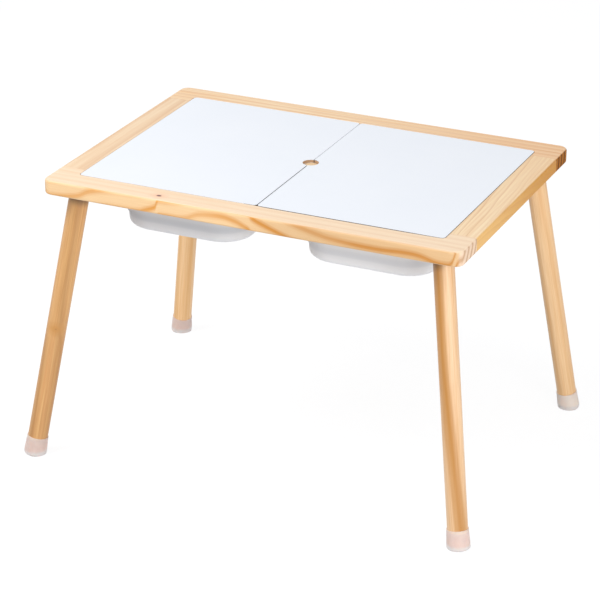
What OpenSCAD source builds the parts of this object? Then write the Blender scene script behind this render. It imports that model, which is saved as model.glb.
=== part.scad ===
// Children's table with two lift-out lids over two hanging storage bins.
// Origin: on the floor, under the middle of the top. +X right, +Y back, +Z up.

/* [Table top] */
// Length of the top, left to right
top_l = 800; // [700:5:1000]
// Depth of the top, front to back
top_w = 570; // [500:5:760]
// Height of the top above the floor
table_h = 543; // [400:1:650]
// Thickness of the frame rails
rail_t = 28; // [24:1:36]
// Width of the frame rails
rail_w = 75; // [70:1:82]
// Width of the front and back rails left bare beside the lids
long_bare_w = 49.5; // [44:0.5:58]
// Width of the left and right rails left bare beside the lids
short_bare_w = 49; // [42:0.5:56]
// Plan radius of the outer corners
corner_r = 18; // [10:1:34]
// Round-over of the outer edges
edge_r = 4.5; // [2:0.5:8]
// Plan radius of the lid recess corners
recess_r = 8; // [3:1:12]
// Eased upper edge of the lid recess
recess_ease = 0.6; // [0.3:0.1:1.5]

/* [Lids] */
// Thickness of the fibreboard core of a lid
lid_core_t = 5; // [3:0.5:8]
// Thickness of each white laminate sheet
laminate_t = 0.5; // [0.3:0.1:1]
// Gap between a lid and the rails
lid_gap = 0.8; // [0.6:0.1:2]
// Gap between the two lids
seam_gap = 1.6; // [0.8:0.1:3]
// Corner radius of the lids at the seam
seam_corner_r = 6; // [1:0.5:8]
// Diameter of the finger hole shared by the lids
finger_hole_d = 30; // [20:1:50]

/* [Bins] */
// Overall depth of a bin
bin_depth = 105; // [80:1:200]
// Wall thickness of a bin
bin_wall = 2.2; // [1.6:0.1:3.5]
// Floor thickness of a bin
bin_floor_t = 2.4; // [1.6:0.1:4]
// Reach of the flange beyond the wall
flange_reach = 15; // [12:0.5:20]
// Thickness of the flange
flange_t = 3; // [2:0.2:4]
// Plan radius of the flange corners
flange_r = 50; // [40:1:60]
// Plan radius of the wall corners under the flange
bin_corner_r = 70; // [60:1:90]
// Lean of the walls, in degrees
bin_draft = 5; // [2:0.5:7]
// Round edge between wall and floor
bin_fillet = 12; // [6:1:16]
// Height of the shoulder above the underside
shoulder_h = 28; // [22:1:45]
// Step of the shoulder into the bin
shoulder_in = 2.5; // [1:0.5:4]

/* [Ledges and crossbar] */
// Width of the left and right ledges, from the rail to a bin's hole
side_ledge_w = 9; // [7:0.5:14]
// Width of the front and back ledges, from the rail to a bin's hole
end_ledge_w = 15.5; // [15:0.5:26]
// Width of the crossbar under the seam
crossbar_w = 88; // [76:1:110]
// Gap between a bin wall and the wood beside it
bin_side_gap = 3; // [2:0.5:5]
// Gap around the edge of a bin flange
flange_side_gap = 1.5; // [1:0.1:2.5]
// Gap between a bin flange and the lid above it
flange_top_gap = 0.6; // [0.2:0.1:1]
// Distance between the two dowels at each end of the crossbar
crossbar_dowel_pitch = 48; // [30:1:60]
// Length of the crossbar dowels
crossbar_dowel_l = 26; // [18:1:27]

/* [Legs] */
// Diameter of the legs
leg_d = 37; // [30:0.2:42]
// Distance of a leg's axis from the edges of the top, at its underside
leg_inset = 51; // [45:0.5:55]
// Reach of a leg's axis beyond the end of the top, at the floor
foot_reach_x = 23; // [-20:0.5:50]
// Reach of a leg's axis beyond the front or back of the top, at the floor
foot_reach_y = 20; // [-20:0.5:50]
// Eased top edge of a leg
leg_ease = 1.5; // [0.5:0.5:3]

/* [Leg plates] */
// Side of a square leg plate
plate_w = 64; // [58:1:70]
// Thickness of a leg plate
plate_t = 2.5; // [2:0.1:4]
// Corner radius of a leg plate
plate_r = 8; // [3:1:12]
// Diameter of the threaded hub of a plate
hub_d = 26; // [18:1:30]
// Height of the hub under the rails, along the leg
hub_h = 8; // [8:0.5:12]
// Distance between the screws of a plate
plate_screw_pitch = 38; // [36:1:40]

/* [Fasteners] */
// Diameter of the wooden dowels
dowel_d = 8; // [6:1:10]
// Length of the corner dowels
dowel_l = 36; // [24:1:40]
// Distance between the two dowels of a corner joint
corner_dowel_pitch = 40; // [34:1:44]
// Diameter of the hanger bolts
bolt_d = 8; // [6:1:10]
// Length of a hanger bolt inside the leg
bolt_in_leg = 38; // [25:1:60]
// Diameter of the wood screws
screw_d = 4; // [3:0.5:5]
// Head diameter of the wood screws
screw_head_d = 8; // [7:0.5:9]
// Length of the plate screws inside the wood
plate_screw_l = 12; // [8:1:14]
// Depth of the ledge screws in the rails
ledge_screw_bite = 18; // [12:1:26]
// Distance between the ledge screws of one bin, left to right
ledge_screw_pitch_x = 190; // [120:5:220]
// Distance between the ledge screws of a side ledge, front to back
ledge_screw_pitch_y = 140; // [100:5:170]
// Clearance around every dowel, screw and bolt
fastener_gap = 0.1; // [0.05:0.05:0.2]

/* [Foot caps] */
// Length of a foot cap along the leg
cap_h = 35; // [25:1:50]
// Wall of a foot cap at its mouth
cap_wall = 1.1; // [0.8:0.1:3]
// Swell of a foot cap near the floor
cap_swell = 1.3; // [0:0.1:3]
// Round lower edge of a foot cap
cap_edge_r = 5; // [2:0.5:8]
// Thickness of a foot cap under the leg
cap_floor_t = 3; // [2:0.5:6]
// Clearance between a leg and its cap
cap_gap = 0.1; // [0.05:0.05:0.3]

/* [Hidden] */
$fn = 64;

pine = "#f3cf9f";
beech_dowel = "#e0b480";
leg_pine = "#dca468";
fibreboard = "#a9794f";
laminate_white = "#f4f7fb";
bin_white = "#e4e5e8";
silicone = "#ecd8cf";
steel = "#c9ccd0";

over = 1;                                  // how far a cutter runs past a face
lid_t = lid_core_t + 2 * laminate_t;
open_x = top_l / 2 - short_bare_w;         // half of the lid recess, left to right
open_y = top_w / 2 - long_bare_w;          // half of the lid recess, front to back
inner_x = top_l / 2 - rail_w;              // inner edge of the left and right rails
inner_y = top_w / 2 - rail_w;              // inner edge of the front and back rails
z_under = table_h - rail_t;                // underside of rails and ledges
z_ledge = table_h - lid_t;                 // face that the lids rest on
z_seat = z_ledge - flange_top_gap - flange_t; // face that the bins hang on
z_low_mid = (z_under + z_seat) / 2;        // middle of the wood under the seats
z_rail_mid = (z_under + table_h) / 2;

hole_outer_x = inner_x - side_ledge_w;     // inner edge of a side ledge
hole_y = inner_y - end_ledge_w;            // inner edge of an end ledge
bin_x = (crossbar_w / 2 + hole_outer_x) / 2; // middle of a bin
bin_body_w = hole_outer_x - crossbar_w / 2 - 2 * bin_side_gap;
bin_body_l = 2 * (hole_y - bin_side_gap);
bin_w = bin_body_w + 2 * flange_reach;
bin_l = bin_body_l + 2 * flange_reach;

leg_x = top_l / 2 - leg_inset;
leg_y = top_w / 2 - leg_inset;
foot_x = top_l / 2 + foot_reach_x;
foot_y = top_w / 2 + foot_reach_y;
leg_run = norm([foot_x - leg_x, foot_y - leg_y]);
leg_len = norm([leg_run, z_under]);        // along the axis, rails to floor
leg_tilt = atan2(leg_run, z_under);
leg_turn = atan2(foot_y - leg_y, foot_x - leg_x);

// ---- shared shapes ----

// A box between two opposite corners
module span(low, high) {
    translate(low) cube(high - low);
}

// A round-cornered solid: the profile, drawn from the corner's axis outwards,
// is turned at four corners and drawn straight between them
module swept_box(half_x, half_y, z_low, z_high) {
    for (x = [-half_x, half_x], y = [-half_y, half_y])
        translate([x, y, 0]) rotate_extrude() children();
    rotate([90, 0, 0]) linear_extrude(2 * half_y, center = true)
        both_sides(half_x, z_low, z_high) children();
    rotate([90, 0, 90]) linear_extrude(2 * half_x, center = true)
        both_sides(half_y, z_low, z_high) children();
}

module both_sides(half, z_low, z_high) {
    translate([half, 0]) children();
    mirror([1, 0]) translate([half, 0]) children();
    translate([-half, z_low]) square([2 * half, z_high - z_low]);
}

// Profile of a slab's edge, rounded above and below
module edge_profile(r, z_low, z_high, round_r) {
    translate([0, z_low]) square([r - round_r, z_high - z_low]);
    translate([0, z_low + round_r]) square([r, z_high - z_low - 2 * round_r]);
    for (z = [z_low + round_r, z_high - round_r])
        translate([r - round_r, z]) circle(round_r);
}

// Repeats a piece at one corner of the table: side is -1 or 1
module at_corner(side_x, side_y) {
    mirror([side_x < 0 ? 1 : 0, 0, 0]) mirror([0, side_y < 0 ? 1 : 0, 0]) children();
}

module at_all_corners() {
    for (side_x = [-1, 1], side_y = [-1, 1]) at_corner(side_x, side_y) children();
}

// Z runs down the leg's axis from the underside of the rails
module along_leg() {
    translate([leg_x, leg_y, z_under])
        rotate([0, 0, leg_turn]) rotate([0, 180 - leg_tilt, 0]) children();
}

// ---- fasteners, with the clearance that their holes add ----

// A dowel along Y, centred on the joint
module dowel(length, extra = 0) {
    rotate([90, 0, 0])
        cylinder(d = dowel_d + 2 * extra, h = length + 2 * extra, center = true);
}

// A countersunk screw along Z, its head's face at zero and its tip above
module countersunk_screw(reach, extra = 0) {
    head_h = (screw_head_d - screw_d) / 2;
    translate([0, 0, head_h / 2]) cylinder(d = screw_d + 2 * extra, h = reach - head_h / 2 + extra);
    cylinder(d1 = screw_head_d + 2 * extra, d2 = screw_d + 2 * extra, h = head_h);
}

// A round-headed screw up through the leg plate, zero at the rails' underside
module plate_screw(extra = 0) {
    head_h = screw_head_d * 0.3;
    translate([0, 0, -plate_t - head_h / 2])
        cylinder(d = screw_d + 2 * extra, h = plate_t + head_h / 2 + plate_screw_l + extra);
    if (extra == 0) translate([0, 0, -plate_t - head_h]) cylinder(d = screw_head_d, h = head_h);
}

module corner_dowels(extra = 0) {
    rail_mid = top_l / 2 - rail_w / 2;
    at_all_corners() for (x = [-0.5, 0.5] * corner_dowel_pitch)
        translate([rail_mid + x, inner_y, z_rail_mid]) dowel(dowel_l, extra);
}

module crossbar_joint_dowels(extra = 0) {
    for (x = [-0.5, 0.5] * crossbar_dowel_pitch, y = [-hole_y, hole_y])
        translate([x, y, z_low_mid]) dowel(crossbar_dowel_l, extra);
}

module all_ledge_screws(extra = 0) {
    at_all_corners() for (x = [-0.5, 0.5] * ledge_screw_pitch_x)
        translate([bin_x + x, hole_y, z_low_mid]) rotate([-90, 0, 0])
            countersunk_screw(end_ledge_w + ledge_screw_bite, extra);
    for (side = [-1, 1], y = [-1, 0, 1] * ledge_screw_pitch_y)
        translate([side * hole_outer_x, y, z_low_mid]) rotate([0, side * 90, 0])
            countersunk_screw(side_ledge_w + ledge_screw_bite, extra);
}

module all_plate_screws(extra = 0) {
    at_all_corners() plate_screw_places() plate_screw(extra);
}

module plate_screw_places() {
    for (x = [-0.5, 0.5] * plate_screw_pitch, y = [-0.5, 0.5] * plate_screw_pitch)
        translate([leg_x + x, leg_y + y, z_under]) children();
}

// A hanger bolt down the leg's axis: its upper thread ends inside the hub
module hanger_bolt(extra = 0) {
    tip_h = bolt_d / 2;
    start = bolt_d / 4;
    shank = hub_h - start + bolt_in_leg - tip_h;
    translate([0, 0, start]) cylinder(d = bolt_d + 2 * extra, h = shank);
    translate([0, 0, start + shank])
        cylinder(d1 = bolt_d + 2 * extra, d2 = bolt_d / 4 + 2 * extra, h = tip_h);
}

// ---- frame ----

// The whole top as one blank with round corners and edges
module top_blank() {
    swept_box(top_l / 2 - corner_r, top_w / 2 - corner_r, z_under, table_h)
        edge_profile(corner_r, z_under, table_h, edge_r);
}

// The shallow recess that takes the lids
module lid_recess() {
    swept_box(open_x - recess_r, open_y - recess_r, z_ledge, table_h + over)
        polygon([
            [0, z_ledge], [recess_r, z_ledge], [recess_r, table_h - recess_ease],
            [recess_r + recess_ease, table_h], [recess_r + recess_ease, table_h + over],
            [0, table_h + over]
        ]);
}

// The shallow pockets that the bin flanges lie in
module flange_pockets() {
    half_w = bin_w / 2 + flange_side_gap;
    half_l = bin_l / 2 + flange_side_gap;
    for (side = [-1, 1])
        span([side * bin_x - half_w, -half_l, z_seat],
             [side * bin_x + half_w, half_l, table_h]);
}

module rail_holes() {
    corner_dowels(fastener_gap);
    all_ledge_screws(fastener_gap);
    all_plate_screws(fastener_gap);
}

module long_rail(side) {
    color(pine) difference() {
        intersection() {
            top_blank();
            at_corner(1, side)
                span([-top_l, inner_y, 0], [top_l, top_w, table_h + over]);
        }
        lid_recess();
        flange_pockets();
        rail_holes();
    }
}

module short_rail(side) {
    color(pine) difference() {
        intersection() {
            top_blank();
            at_corner(side, 1)
                span([inner_x, -inner_y, 0], [top_l, inner_y, table_h + over]);
        }
        lid_recess();
        flange_pockets();
        rail_holes();
    }
}

module rail_dowels() {
    color(beech_dowel) corner_dowels();
}

// ---- ledges and crossbar: the bins hang on them ----

module end_ledge(side) {
    color(pine) difference() {
        at_corner(1, side) span([-inner_x, hole_y, z_under], [inner_x, inner_y, z_seat]);
        all_ledge_screws(fastener_gap);
        all_plate_screws(fastener_gap);
        crossbar_joint_dowels(fastener_gap);
    }
}

module side_ledge(side) {
    color(pine) difference() {
        at_corner(side, 1) span([hole_outer_x, -hole_y, z_under], [inner_x, hole_y, z_seat]);
        all_ledge_screws(fastener_gap);
    }
}

module ledge_screws() {
    color(steel) all_ledge_screws();
}

module crossbar() {
    color(pine) difference() {
        span([-crossbar_w / 2, -hole_y, z_under], [crossbar_w / 2, hole_y, z_ledge]);
        flange_pockets();
        crossbar_joint_dowels(fastener_gap);
    }
}

module crossbar_dowels() {
    color(beech_dowel) crossbar_joint_dowels();
}

// ---- legs ----

module leg() {
    color(leg_pine) difference() {
        along_leg() {
            translate([0, 0, hub_h])
                cylinder(d1 = leg_d - 2 * leg_ease, d2 = leg_d, h = leg_ease);
            translate([0, 0, hub_h + leg_ease])
                cylinder(d = leg_d, h = leg_len - hub_h);
        }
        span([leg_x - leg_d, leg_y - leg_d, -2 * leg_d],
             [foot_x + 2 * leg_d, foot_y + 2 * leg_d, cap_floor_t]);
        along_leg() hanger_bolt(fastener_gap);
    }
}

module leg_plate() {
    color(steel) difference() {
        union() {
            translate([leg_x, leg_y, z_under - plate_t])
                linear_extrude(plate_t) plate_plan();
            intersection() {
                along_leg() translate([0, 0, -hub_d / 2]) cylinder(d = hub_d, h = hub_h + hub_d / 2);
                span([leg_x - hub_d, leg_y - hub_d, z_under - 2 * hub_h],
                     [leg_x + hub_d, leg_y + hub_d, z_under]);
            }
        }
        along_leg() translate([0, 0, -hub_d])
            cylinder(d = bolt_d + 2 * fastener_gap, h = hub_d + hub_h + over);
        plate_screw_places() plate_screw(fastener_gap);
    }
}

module plate_plan() {
    half = plate_w / 2 - plate_r;
    square([plate_w, 2 * half], center = true);
    square([2 * half, plate_w], center = true);
    for (x = [-half, half], y = [-half, half]) translate([x, y]) circle(plate_r);
}

module hanger_bolts() {
    color(steel) at_all_corners() along_leg() hanger_bolt();
}

module plate_screws() {
    color(steel) all_plate_screws();
}

// A soft cap that follows the leg and stands flat on the floor
module foot_cap() {
    mouth_r = leg_d / 2 + cap_gap + cap_wall;
    low_r = mouth_r + cap_swell;
    below = leg_d / 2 * tan(leg_tilt) - cap_edge_r / 5;
    color(silicone) difference() {
        along_leg() translate([0, 0, leg_len]) rotate([180, 0, 0]) rotate_extrude() {
            polygon([
                [0, -below], [low_r - cap_edge_r, -below], [low_r - cap_edge_r, cap_edge_r - below],
                [low_r, cap_edge_r - below], [low_r, 2 * cap_edge_r], [mouth_r, cap_h], [0, cap_h]
            ]);
            translate([low_r - cap_edge_r, cap_edge_r - below]) circle(cap_edge_r);
        }
        intersection() {
            along_leg() translate([0, 0, leg_len - 2 * cap_h])
                cylinder(d = leg_d + 2 * cap_gap, h = 4 * cap_h);
            span([0, 0, cap_floor_t], [foot_x + cap_h, foot_y + cap_h, table_h]);
        }
        span([0, 0, -2 * cap_h], [foot_x + cap_h, foot_y + cap_h, 0]);
    }
}

// ---- lids ----

// What rounding takes off a square corner at the origin, for a plan that lies
// towards inward: each of its two numbers is -1 or 1
module corner_off(inward, r) {
    mirror([inward.x < 0 ? 1 : 0, 0]) mirror([0, inward.y < 0 ? 1 : 0]) difference() {
        translate([-over, -over]) square(r + over);
        translate([r, r]) circle(r);
    }
}

// Plan of the right lid, from the seam to the rail
module lid_plan() {
    near = seam_gap / 2;
    far = open_x - lid_gap;
    half = open_y - lid_gap;
    difference() {
        translate([near, -half]) square([far - near, 2 * half]);
        for (side = [-1, 1]) {
            translate([near, side * half]) corner_off([1, -side], seam_corner_r);
            translate([far, side * half]) corner_off([-1, -side], recess_r - lid_gap);
        }
        circle(d = finger_hole_d);
    }
}

module lid_layer(side, z_low, thickness) {
    at_corner(side, 1) translate([0, 0, z_low]) linear_extrude(thickness) lid_plan();
}

module lid_core(side) {
    color(fibreboard) lid_layer(side, z_ledge + laminate_t, lid_core_t);
}

module lid_face(side) {
    color(laminate_white) lid_layer(side, table_h - laminate_t, laminate_t);
}

module lid_back(side) {
    color(laminate_white) lid_layer(side, z_ledge, laminate_t);
}

// ---- bins ----

// Outer radius of a bin's corner at a height above its underside
function wall_r(z, step) =
    bin_corner_r - step - (bin_depth - flange_t - z) * tan(bin_draft);

// Half section of a tray corner; inset is zero outside and the wall inside
module tray_profile(inset, floor_z, top_z) {
    fillet = bin_fillet - inset;
    side_inset = inset / cos(bin_draft);
    shoulder_z = shoulder_h + inset;
    fillet_z = floor_z + fillet;
    fillet_x = wall_r(fillet_z, shoulder_in) - side_inset - fillet / cos(bin_draft);
    polygon([
        [0, floor_z],
        [fillet_x, floor_z],
        [fillet_x + fillet * cos(bin_draft), fillet_z - fillet * sin(bin_draft)],
        [wall_r(shoulder_z, shoulder_in) - side_inset, shoulder_z],
        [wall_r(shoulder_z, 0) - side_inset, shoulder_z],
        [wall_r(bin_depth - flange_t, 0) - side_inset, bin_depth - flange_t],
        [wall_r(bin_depth - flange_t, 0) - side_inset, top_z],
        [0, top_z]
    ]);
    translate([fillet_x, fillet_z]) circle(fillet);
}

module bin(side) {
    half_x = bin_body_w / 2 - bin_corner_r;
    half_y = bin_body_l / 2 - bin_corner_r;
    color(bin_white) translate([side * bin_x, 0, z_seat - bin_depth + flange_t]) difference() {
        union() {
            swept_box(half_x, half_y, 0, bin_depth) tray_profile(0, 0, bin_depth);
            swept_box(bin_w / 2 - flange_r, bin_l / 2 - flange_r, bin_depth - flange_t, bin_depth)
                edge_profile(flange_r, bin_depth - flange_t, bin_depth, flange_t / 3);
        }
        swept_box(half_x, half_y, bin_floor_t, bin_depth + over)
            tray_profile(bin_wall, bin_floor_t, bin_depth + over);
    }
}

long_rail(-1);  // front_rail
long_rail(1);  // back_rail
short_rail(-1);  // left_rail
short_rail(1);  // right_rail
rail_dowels();
end_ledge(-1);  // front_ledge
end_ledge(1);  // back_ledge
side_ledge(-1);  // left_ledge
side_ledge(1);  // right_ledge
ledge_screws();
crossbar();
crossbar_dowels();
at_corner(-1, -1) leg();  // front_left_leg
at_corner(1, -1) leg();  // front_right_leg
at_corner(-1, 1) leg();  // back_left_leg
at_corner(1, 1) leg();  // back_right_leg
at_corner(-1, -1) leg_plate();  // front_left_leg_plate
at_corner(1, -1) leg_plate();  // front_right_leg_plate
at_corner(-1, 1) leg_plate();  // back_left_leg_plate
at_corner(1, 1) leg_plate();  // back_right_leg_plate
hanger_bolts();
plate_screws();
at_corner(-1, -1) foot_cap();  // front_left_foot_cap
at_corner(1, -1) foot_cap();  // front_right_foot_cap
at_corner(-1, 1) foot_cap();  // back_left_foot_cap
at_corner(1, 1) foot_cap();  // back_right_foot_cap
lid_core(-1);  // left_lid_core
lid_face(-1);  // left_lid_face
lid_back(-1);  // left_lid_back
lid_core(1);  // right_lid_core
lid_face(1);  // right_lid_face
lid_back(1);  // right_lid_back
bin(-1);  // left_bin
bin(1);  // right_bin
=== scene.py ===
import math

import bpy
from mathutils import Euler, Matrix, Vector


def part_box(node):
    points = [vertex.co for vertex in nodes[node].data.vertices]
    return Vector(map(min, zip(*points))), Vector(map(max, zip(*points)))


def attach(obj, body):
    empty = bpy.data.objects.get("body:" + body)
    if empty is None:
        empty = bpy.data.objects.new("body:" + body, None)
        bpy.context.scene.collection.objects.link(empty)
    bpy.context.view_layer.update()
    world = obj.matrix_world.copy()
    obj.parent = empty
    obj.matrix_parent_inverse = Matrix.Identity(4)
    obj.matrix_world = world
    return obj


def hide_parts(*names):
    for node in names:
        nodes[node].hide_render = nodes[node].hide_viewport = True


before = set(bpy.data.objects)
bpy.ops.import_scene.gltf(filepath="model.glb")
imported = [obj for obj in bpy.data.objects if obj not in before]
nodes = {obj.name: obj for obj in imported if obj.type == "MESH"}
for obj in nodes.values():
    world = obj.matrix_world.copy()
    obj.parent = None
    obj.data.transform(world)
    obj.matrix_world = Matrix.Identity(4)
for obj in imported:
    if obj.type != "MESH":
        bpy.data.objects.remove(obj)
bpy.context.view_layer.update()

mmPerMetre = 1000
print("loaded", len(nodes), "nodes")


def boxMiddle(nodeName):
    low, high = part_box(nodeName)
    return (low + high) / 2


# the axis of the back right leg, from the underside of the rails to the floor; the others mirror it
footReach = {"x": 0.023, "y": 0.020}                      # how far a foot stands out past the rails
railLow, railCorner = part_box("back_rail")
plateMiddle = boxMiddle("back_right_leg_plate")
legTop = Vector((plateMiddle.x, plateMiddle.y, railLow.z))
legFoot = Vector((railCorner.x + footReach["x"], railCorner.y + footReach["y"], 0))
corners = {"front_left": (-1, -1), "back_left": (-1, 1), "front_right": (1, -1), "back_right": (1, 1)}


def atCorner(point, sideX, sideY):
    return Vector((sideX * point.x, sideY * point.y, point.z))


def linearColour(hexCode):
    channels = [int(hexCode[i:i + 2], 16) / 255 for i in (1, 3, 5)]
    return [c / 12.92 if c <= 0.04045 else ((c + 0.055) / 1.055) ** 2.4 for c in channels] + [1.0]


def addNode(tree, kind, inputs=(), **settings):
    # an input that is another node's socket is linked, and any other value is set
    node = tree.nodes.new(kind)
    for name, value in settings.items():
        setattr(node, name, value)
    pairs = inputs.items() if isinstance(inputs, dict) else enumerate(inputs)
    for key, value in pairs:
        if isinstance(value, bpy.types.NodeSocket):
            tree.links.new(value, node.inputs[key])
        else:
            node.inputs[key].default_value = value
    return node


def newMaterial(name):
    material = bpy.data.materials.new(name)
    material.use_nodes = True
    material.node_tree.nodes.clear()
    return material, material.node_tree


def setRamp(node, stops):
    ramp = node.color_ramp
    ramp.interpolation = "EASE"
    while len(ramp.elements) < len(stops):
        ramp.elements.new(0.5)
    for element, (place, value) in zip(ramp.elements, stops):
        element.position = place
        element.color = (value, value, value, 1)


def addCurve(tree, value, points):
    # a smooth curve through (place, height) points
    low, high = points[0][0], points[-1][0]
    deep = min(height for place, height in points)
    rise = max(height for place, height in points) - deep
    share = addNode(tree, "ShaderNodeMapRange", [value, low, high, 0.0, 1.0])
    curve = addNode(tree, "ShaderNodeFloatCurve", {"Value": share.outputs[0]})
    line = curve.mapping.curves[0]
    while len(line.points) < len(points):
        line.points.new(0.5, 0.5)
    for point, (place, height) in zip(line.points, points):
        point.location = ((place - low) / (high - low), (height - deep) / rise)
    curve.mapping.update()
    return addNode(tree, "ShaderNodeMath", [curve.outputs[0], rise, deep],
                   operation="MULTIPLY_ADD").outputs[0]


# what a finish has unless its own values say otherwise
plainSurface = {
    "metallic": 0.0, "ior": 1.5, "roughSpread": 0.03, "mattRoughness": 0.9, "bump": 0.2, "bumpDepth": 0.0002,
    "sockets": {},
}


def finishSurface(tree, colour, height, look, matt=None):
    look = {**plainSurface, **look}
    bump = addNode(tree, "ShaderNodeBump", {
        "Height": height, "Strength": look["bump"], "Distance": look["bumpDepth"]})
    shader = addNode(tree, "ShaderNodeBsdfPrincipled", {
        "Base Color": colour, "Normal": bump.outputs[0], "Metallic": look["metallic"], "IOR": look["ior"],
        **look["sockets"]})
    smoothest, roughest = look["roughness"] - look["roughSpread"], look["roughness"] + look["roughSpread"]
    roughness = addNode(tree, "ShaderNodeMapRange", [height, 0.0, 1.0, smoothest, roughest])
    if matt:                                              # where the surface drinks its finish
        roughness = addNode(tree, "ShaderNodeMapRange", {
            0: matt, 3: roughness.outputs[0], 4: look["mattRoughness"]})
    tree.links.new(roughness.outputs[0], shader.inputs["Roughness"])
    addNode(tree, "ShaderNodeOutputMaterial", {"Surface": shader.outputs[0]})


def dress(nodeName, material):
    piece = nodes[nodeName]
    piece.data.materials.clear()
    piece.data.materials.append(material)


# Pine boards sawn from the log, sanded and sealed with a clear satin lacquer: a pale cream
# ground, darker amber growth rings, fine fibres along the board and dark rings in end grain.
# Lengths are in millimetres, and a range gives where an effect starts and where it is full
pineShared = {
    "ringShape": [(0.0, 0.0), (0.35, 0.08), (0.72, 0.6), (0.88, 1.0), (0.95, 0.7), (1.0, 0.0)],
    "waveWidth": 55, "waveDetail": 1.5, "faintRing": 0.55,
    "fibreLength": 70, "fibreWidth": 1.1, "fibreDetail": 3.0, "fibreRange": (0.35, 0.75), "fibreShare": 0.16,
    "streakLength": 260, "streakWidth": 7, "streakDetail": 2.0, "streakRange": (0.42, 0.66),
    "streakShare": 0.5, "streakSeed": 3,
    "outerRange": (0.35, 0.9), "endRange": (0.55, 0.86),
    "poresPerMm": 0.9, "poreDetail": 2.0, "poreRange": (0.3, 0.7), "poreTone": (0.7, 1.1),
    # where the rail's painted shadow on a leg is nothing and full, in mm from the leg's top, and the sides it
    # reaches
    "jointRange": (32.0, 12.0), "jointSideRange": (-0.4, 0.6),
    "knotPushReach": 6.0, "knotHaloReach": 4.0, "knotCoreRange": (1.15, 0.75),
    "knotHaloShape": [(0.0, 1.0), (0.3, 0.8), (0.6, 0.35), (1.0, 0.0)],
    "roughness": 0.48, "bump": 0.12, "bumpDepth": 0.0001, "coat": 0.0, "coatRoughness": 0.3, "gloss": 0.25,
}


def placesOnBoard(tree, look):
    # a point in millimetres from the board's middle and the way it faces, both with X along the board
    coordinates = addNode(tree, "ShaderNodeTexCoord").outputs
    turn = look["turn"]
    centre = -(turn.to_matrix() @ (look["centre"] * mmPerMetre))
    board = addNode(tree, "ShaderNodeMapping", {
        "Vector": coordinates["Object"], "Location": centre, "Rotation": turn,
        "Scale": [mmPerMetre] * 3}).outputs[0]
    facing = addNode(tree, "ShaderNodeMapping", {
        "Vector": coordinates["Normal"], "Rotation": turn}, vector_type="NORMAL").outputs[0]
    at = {
        "object": coordinates["Object"], "normal": coordinates["Normal"], "board": board, "facing": facing,
        "along": addNode(tree, "ShaderNodeSeparateXYZ", [board]).outputs[0],
        "section": addNode(tree, "ShaderNodeVectorMath", [board, (0, 1, 1)], operation="MULTIPLY").outputs[0],
    }
    if "outerSide" in look:                               # the side of a board that faces outwards
        reach = addNode(tree, "ShaderNodeVectorMath", [facing, look["outerSide"]["facing"]],
                        operation="DOT_PRODUCT").outputs["Value"]
        at["outer"] = addNode(tree, "ShaderNodeMapRange", [reach, *look["outerRange"], 0.0, 1.0],
                              interpolation_type="SMOOTHSTEP").outputs[0]
    return at


def grainNoise(tree, board, length, width, detail, seed=None):
    # noise that is long along the board and narrow across it
    stretched = addNode(tree, "ShaderNodeVectorMath", [board, (1 / length, 1 / width, 1 / width)],
                        operation="MULTIPLY").outputs[0]
    inputs = {"Vector": stretched, "Scale": 1.0, "Detail": detail}
    if seed is None:
        return addNode(tree, "ShaderNodeTexNoise", inputs).outputs[0]
    return addNode(tree, "ShaderNodeTexNoise", {**inputs, "W": seed}, noise_dimensions="4D").outputs[0]


def knotReach(tree, knot, board, wave):
    # the distance from the knot's middle, in shares of its own size, made ragged by the noise
    off = addNode(tree, "ShaderNodeVectorMath", [board, knot["place"]], operation="SUBTRACT")
    unit = addNode(tree, "ShaderNodeVectorMath", [off.outputs[0], [1 / size for size in knot["size"]]],
                   operation="MULTIPLY")
    reach = addNode(tree, "ShaderNodeVectorMath", [unit.outputs[0]], operation="LENGTH").outputs["Value"]
    return addNode(tree, "ShaderNodeMath", [wave, knot["ragged"], reach], operation="MULTIPLY_ADD").outputs[0]


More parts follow.
